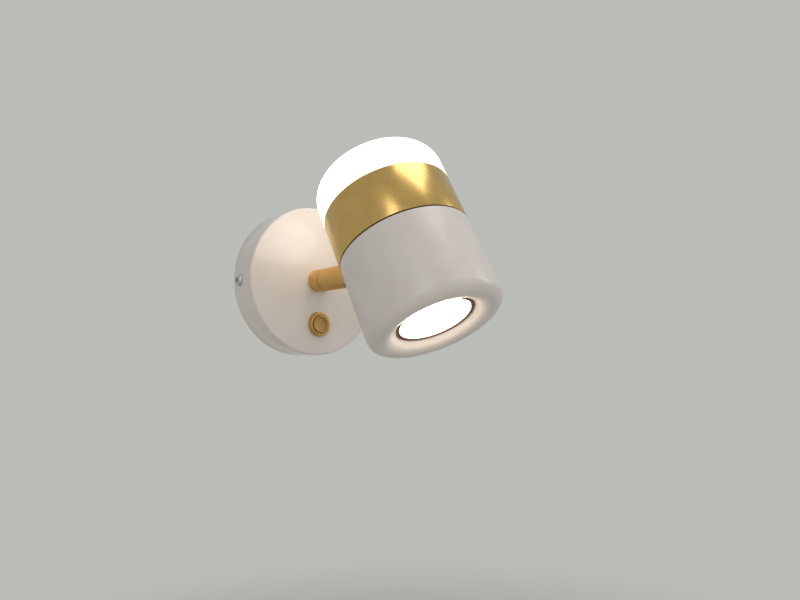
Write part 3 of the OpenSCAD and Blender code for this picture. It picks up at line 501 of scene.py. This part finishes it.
def make_switch():
    """The bezel with its raised ring, and the dished button."""
    place = OUT_OF_WALL @ at(0, -SWITCH_DROP, 0)
    bezel = turned(
        [
            (6.3, 13),
            (7.9, 13),
            (7.9, ON_CANOPY),
            (8.7, ON_CANOPY),
            (8.7, 25.02),
            (7.7, 25.02),
            (7.7, 26.6),
            (6.3, 26.6),
        ],
        {1: (0.3, 2), 4: (0.35, 4), 6: (0.5, 5), 7: (0.3, 3)},
        steps=128,
    )
    piece("switch_ring", bezel, place, "switch brass", "base", "satin_brass", "switch_bezel")
    button = turned(
        [(0, 20), (6.1, 20), (6.1, 27.4), (4.7, 27.4), (4.4, 26.45), (0, 26.4)],
        {1: (0.3, 2), 2: (0.55, 5), 3: (0.12, 3), 4: (0.4, 4)},
        steps=128,
        closed=False,
    )
    # The dished button takes the darker brass, which is painted shade.
    piece("dished_button", button, place, "button brass with painted shade", "button", "satin_brass", "switch_button")


def make_side_screws():
    """A pan head with a cross recess on each side of the canopy."""
    heads = bmesh.new()
    bars = []
    for side in (-1, 1):
        place = OUT_OF_WALL @ at(side * SCREW_SEAT, 0, SIDE_SCREW_REACH)
        place = place @ Matrix.Rotation(math.radians(90 * side), 4, "Y")
        for turn in (35, 125):
            turned_bar = place @ Matrix.Rotation(math.radians(turn), 4, "Z") @ at(0, 0, 2.2)
            bars.append(block((4.4, 0.9, 2.6), turned_bar))
        screw = turned(
            [(0, -8), (2.0, -8), (2.0, 0), (3.7, 0), (3.7, 1.0), (2.6, 2.05), (0, 2.2)],
            {1: (0.4, 2), 4: (0.45, 4), 5: (0.9, 4)},
            steps=64,
            closed=False,
        )
        screw.transform(place)
        join(heads, screw)
    screws = piece(
        "cross_head_screws", heads, Matrix.Identity(4), "plated steel", "base", "zinc_steel", "canopy_screws"
    )
    cut(screws, *bars)


def join(whole, part):
    """Adds one mesh to another and frees it."""
    mesh = bpy.data.meshes.new("part")
    part.to_mesh(mesh)
    part.free()
    whole.from_mesh(mesh)
    bpy.data.meshes.remove(mesh)


def hinge_slot():
    """The upright slot at the back of the head."""
    return block((8.6, 60, 13.2), ON_HEAD @ at(0, 50, 0))


def make_band():
    """Brass sleeve with a small soft edge above and below."""
    bm = turned(
        [(SLEEVE_R, -BAND_HALF), (HEAD_R, -BAND_HALF), (HEAD_R, BAND_HALF), (SLEEVE_R, BAND_HALF)],
        {1: (0.35, 3), 2: (0.25, 3)},
        steps=192,
    )
    band = piece("satin_band", bm, ON_HEAD, "band brass", "head", "satin_brass", "brass_band")
    cut(band, hinge_slot())


def make_opal_top():
    """Opal cup with a broad round edge and a spigot in the band."""
    bm = turned(
        [
            (0, OPAL_TOP),
            (HEAD_R, OPAL_TOP),
            (HEAD_R, 15.17),
            (37.9, 15.17),
            (37.9, 10.17),
            (35.3, 10.17),
            (35.3, 17.15),
            (HEAD_R - OPAL_WALL, 17.15),
            (HEAD_R - OPAL_WALL, OPAL_TOP - OPAL_WALL),
            (0, OPAL_TOP - OPAL_WALL),
        ],
        {1: (13.5, 18), 2: (0.2, 2), 8: (11.0, 12)},
        steps=192,
        closed=False,
    )
    piece("opal_cup", bm, ON_HEAD, "opal", "head", "opal_glow", "top_diffuser")


def make_shell():
    """Painted shell with its round lower edge, the flared mouth and three bosses inside."""
    lip_r = MOUTH_INNER_R + (MOUTH_INNER_Z - SHELL_BOTTOM) / math.tan(MOUTH_SLOPE)
    flare = MOUTH_ROUND * math.tan(MOUTH_SLOPE / 2)
    bm = turned(
        [
            (SLEEVE_R, SHELL_TOP),
            (HEAD_R, SHELL_TOP),
            (HEAD_R, SHELL_BOTTOM),
            (lip_r, SHELL_BOTTOM),
            (MOUTH_INNER_R, MOUTH_INNER_Z),
            (MOUTH_INNER_R, SHELL_FLOOR),
            (SLEEVE_R, SHELL_FLOOR),
        ],
        {1: (0.55, 4), 2: (6.4, 12), 3: (flare, 10), 4: (0.35, 3), 6: (1.0, 3)},
        steps=192,
    )
    for angle in (30, 150, 270):
        around = Matrix.Rotation(math.radians(angle), 4, "Z")
        middle = around @ at(BOSS_CIRCLE_R, 0, SHELL_FLOOR + BOSS_LENGTH / 2 - 1)
        join(bm, rod(BOSS_R, BOSS_LENGTH, middle, 32))
    piece("painted_shell", bm, ON_HEAD, "shell paint", "head", "white_paint", "head_shell")


def make_lens():
    """Frosted lens with its flange, and the dark ring round it."""
    lens = turned(
        [
            (0, LENS_FACE),
            (LENS_R, LENS_FACE),
            (LENS_R, FLANGE_FRONT),
            (FLANGE_R, FLANGE_FRONT),
            (FLANGE_R, FLANGE_BACK),
            (0, FLANGE_BACK),
        ],
        {1: (0.5, 4)},
        closed=False,
    )
    piece("frosted_lens", lens, ON_HEAD, "lens", "head", "lens_glow", "spot_lens")
    ring = turned(
        [
            (RING_INNER_R, RING_FACE),
            (RING_OUTER_R, RING_FACE),
            (RING_OUTER_R, SHELL_FLOOR),
            (RING_INNER_R, SHELL_FLOOR),
        ],
        {0: (0.2, 3), 1: (0.2, 3)},
    )
    # The ring's dark brown is partly dark plastic and partly painted shade round the lens.
    piece("dark_lens_ring", ring, ON_HEAD, "brown lens ring with painted shade", "head", "dark_plastic", "lens_ring")


dress_cad_pieces()
make_canopy()
make_arm()
make_switch()
make_side_screws()
make_band()
make_opal_top()
make_shell()
make_lens()

PALE = (0.50, 0.505, 0.475)
FLOOR_Z = -0.5


def make_floor():
    """Plain pale floor below the lamp that fades into the backdrop."""
    bm = bmesh.new()
    below = Matrix.Translation((0, 0, FLOOR_Z))
    bmesh.ops.create_circle(bm, cap_ends=True, radius=8.0, segments=96, matrix=below)
    mesh = bpy.data.meshes.new("floor")
    bm.to_mesh(mesh)
    bm.free()
    material, tree, shader = finish_of("pale floor", PALE, 0.8)
    output = tree.nodes["Material Output"]
    glow = tree.nodes.new("ShaderNodeEmission")
    glow.inputs["Color"].default_value = (*PALE, 1)
    mixed = tree.nodes.new("ShaderNodeMixShader")
    where = tree.nodes.new("ShaderNodeTexCoord")
    length = tree.nodes.new("ShaderNodeVectorMath")
    length.operation = "LENGTH"
    fade = tree.nodes.new("ShaderNodeMapRange")
    fade.interpolation_type = "SMOOTHSTEP"
    fade.inputs["From Min"].default_value = 0.55
    fade.inputs["From Max"].default_value = 1.1
    fade.inputs["To Min"].default_value = 0.0
    fade.inputs["To Max"].default_value = 1.0
    tree.links.new(where.outputs["Object"], length.inputs[0])
    tree.links.new(length.outputs["Value"], fade.inputs["Value"])
    tree.links.new(fade.outputs["Result"], mixed.inputs["Fac"])
    tree.links.new(shader.outputs["BSDF"], mixed.inputs[1])
    tree.links.new(glow.outputs["Emission"], mixed.inputs[2])
    tree.links.new(mixed.outputs["Shader"], output.inputs["Surface"])
    mesh.materials.append(material)
    floor = bpy.data.objects.new("floor", mesh)
    bpy.context.scene.collection.objects.link(floor)


def make_backdrop():
    """Pale backdrop for the camera, for metal and for glass, with a softer light for all else."""
    world = bpy.data.worlds.new("pale room")
    world.use_nodes = True
    bpy.context.scene.world = world
    tree = world.node_tree
    background = tree.nodes["Background"]
    path = tree.nodes.new("ShaderNodeLightPath")
    seen = tree.nodes.new("ShaderNodeMath")
    seen.operation = "MAXIMUM"
    through = tree.nodes.new("ShaderNodeMath")
    through.operation = "MAXIMUM"
    colour = tree.nodes.new("ShaderNodeMix")
    colour.data_type = "RGBA"
    colour.inputs[6].default_value = (0.32, 0.32, 0.33, 1)
    colour.inputs[7].default_value = (*PALE, 1)
    tree.links.new(path.outputs["Is Camera Ray"], seen.inputs[0])
    tree.links.new(path.outputs["Is Glossy Ray"], seen.inputs[1])
    tree.links.new(seen.outputs["Value"], through.inputs[0])
    tree.links.new(path.outputs["Is Transmission Ray"], through.inputs[1])
    tree.links.new(through.outputs["Value"], colour.inputs[0])
    tree.links.new(colour.outputs[2], background.inputs["Color"])


def softbox(name, place, size, power):
    """A soft area light that looks at the lamp."""
    data = bpy.data.lights.new(name, "AREA")
    data.shape = "RECTANGLE"
    data.size = size[0]
    data.size_y = size[1]
    data.energy = power
    lamp = bpy.data.objects.new(name, data)
    lamp.location = place
    towards = Vector((0, -0.08, 0)) - Vector(place)
    lamp.rotation_mode = "QUATERNION"
    lamp.rotation_quaternion = towards.to_track_quat("-Z", "Y")
    bpy.context.scene.collection.objects.link(lamp)


def make_camera():
    """The photograph's viewpoint, found from the outlines of the canopy, the band and the lens."""
    yaw, pitch, roll = (math.radians(a) for a in (40.795, 3.956, -1.858))
    ahead = Vector((math.sin(yaw) * math.cos(pitch), math.cos(yaw) * math.cos(pitch), math.sin(pitch)))
    right = Vector((math.cos(yaw), -math.sin(yaw), 0))
    up = right.cross(ahead)
    level_right = math.cos(roll) * right + math.sin(roll) * up
    level_up = -math.sin(roll) * right + math.cos(roll) * up
    data = bpy.data.cameras.new("camera")
    data.sensor_width = 36
    data.lens = 635.222 / 800 * 36
    data.clip_start = 0.01
    data.clip_end = 50
    camera = bpy.data.objects.new("camera", data)
    turn = Matrix((level_right, level_up, -ahead)).transposed().to_4x4()
    camera.matrix_world = Matrix.Translation(Vector((-242.751, -391.555, -45.225)) * MM) @ turn
    bpy.context.scene.collection.objects.link(camera)
    bpy.context.scene.camera = camera


make_floor()
make_backdrop()
softbox("high left", (-1.1, -0.9, 0.6), (0.35, 1.1), 2.6)
softbox("right", (1.2, -0.8, 0.5), (0.25, 0.9), 2.4)
softbox("above", (0.35, -0.35, 1.3), (0.9, 0.7), 5.5)
softbox("low front", (-0.4, -1.3, -0.2), (0.9, 0.5), 1)
make_camera()
bpy.context.scene.view_settings.view_transform = "Standard"
